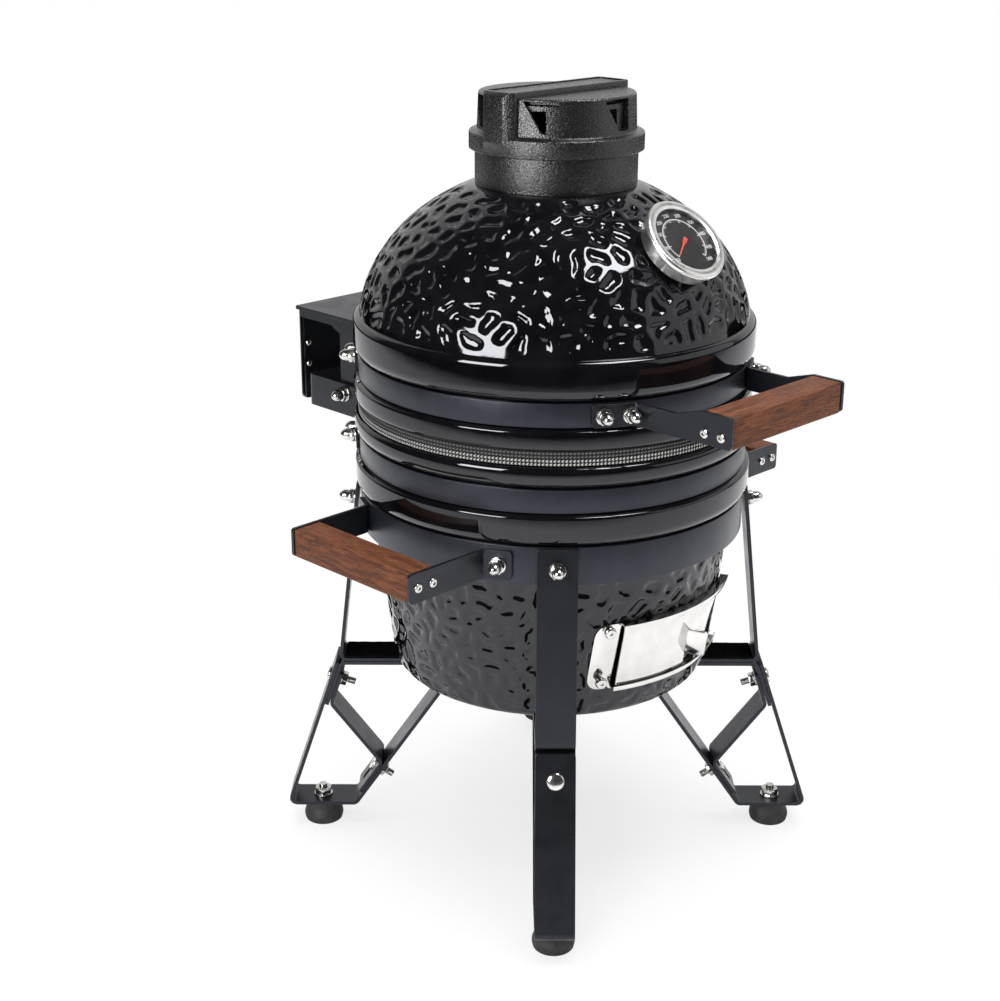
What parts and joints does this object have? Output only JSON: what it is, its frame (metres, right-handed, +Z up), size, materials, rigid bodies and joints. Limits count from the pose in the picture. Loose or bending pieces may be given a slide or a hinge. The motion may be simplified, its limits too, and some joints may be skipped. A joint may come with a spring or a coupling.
{
  "type": "ceramic kamado grill",
  "caption": "Egg-shaped black ceramic charcoal grill on bent-strap legs, with a hinged lid, turning top vent, dial thermometer, sliding draft door and wooden grips.",
  "frame": {"origin": "on the floor, in the middle of the bounding box's footprint; the grill's own upright axis is 6.9 mm behind it", "axes": "+Z up, -Y to the front, where the lid handle, the thermometer and the draft door are, +X to the right seen from the front"},
  "size_m": [0.576, 0.5942, 0.824],
  "materials": {
    "glazed_ceramic": "high-gloss black glaze over a dimpled ceramic",
    "coated_steel": "satin black powder coat",
    "cast_iron": "grainy matt black casting",
    "wood": "oiled reddish-brown hardwood",
    "stainless": "polished stainless steel",
    "rubber": "matt black",
    "gasket": "woven glass-fibre tape",
    "fire_clay": "unglazed fire clay",
    "dial": "matt black face",
    "needle": "red",
    "lens": "clear glass"
  },
  "bodies": {
    "base": {"base_shell": "glazed_ceramic", "base_gasket": "gasket", "base_upper_band": "coated_steel", "base_lower_band": "coated_steel", "hinge_base_bracket": "coated_steel", "hinge_bolt_left": "stainless", "hinge_bolt_right": "stainless", "draft_frame": "stainless", "firebox": "fire_clay", "firebox_floor": "fire_clay", "fire_ring": "fire_clay", "charcoal_grate": "cast_iron", "cooking_grid": "stainless", "carry_handle_left_grip": "wood", "carry_handle_left_arm_front": "coated_steel", "carry_handle_left_arm_rear": "coated_steel", "carry_handle_right_grip": "wood", "carry_handle_right_arm_front": "coated_steel", "carry_handle_right_arm_rear": "coated_steel", "leg_upper_front_left": "coated_steel", "leg_lower_front_left": "coated_steel", "leg_bracket_front_left": "coated_steel", "leg_brace_front_left": "coated_steel", "leg_bolt_front_left": "stainless", "foot_front_left": "rubber", "leg_upper_front_right": "coated_steel", "leg_lower_front_right": "coated_steel", "leg_bracket_front_right": "coated_steel", "leg_brace_front_right": "coated_steel", "leg_bolt_front_right": "stainless", "foot_front_right": "rubber", "leg_upper_rear_right": "coated_steel", "leg_lower_rear_right": "coated_steel", "leg_bracket_rear_right": "coated_steel", "leg_brace_rear_right": "coated_steel", "leg_bolt_rear_right": "stainless", "foot_rear_right": "rubber", "leg_upper_rear_left": "coated_steel", "leg_lower_rear_left": "coated_steel", "leg_bracket_rear_left": "coated_steel", "leg_brace_rear_left": "coated_steel", "leg_bolt_rear_left": "stainless", "foot_rear_left": "rubber"},
    "lid": {"lid_dome": "glazed_ceramic", "lid_gasket": "gasket", "lid_band": "coated_steel", "lid_handle_arm_left": "coated_steel", "lid_handle_arm_right": "coated_steel", "lid_handle_grip": "wood", "hinge_lid_bracket": "coated_steel", "vent_collar": "cast_iron", "vent_gasket": "gasket", "thermometer_case": "stainless", "thermometer_dial": "dial", "thermometer_lens": "lens", "thermometer_nut": "stainless"},
    "vent_cap": {"vent_cap": "cast_iron"},
    "thermometer_needle": {"thermometer_needle": "needle"},
    "draft_door": {"draft_door": "stainless"}
  },
  "joints": [
    {"name": "lid_hinge", "type": "hinge", "parent": "base", "child": "lid", "pos_m": [0, 0.21093, 0.486], "axis": [-1, 0, 0], "range_deg": [0, 65]},
    {"name": "vent_cap_turn", "type": "hinge", "parent": "lid", "child": "vent_cap", "pos_m": [0, 0.00692, 0.79], "axis": [0, 0, 1], "range_deg": [-10, 20]},
    {"name": "thermometer_needle_turn", "type": "hinge", "parent": "lid", "child": "thermometer_needle", "pos_m": [0, -0.15082, 0.68209], "axis": [0, 0.7082, -0.706], "range_deg": [0, 270], "stiffness_Nm_per_rad": 0.002},
    {"name": "draft_door_slide", "type": "hinge", "parent": "base", "child": "draft_door", "pos_m": [0, 0.00692, 0.2815], "axis": [0, 0, 1], "range_deg": [0, 24]}
  ]
}
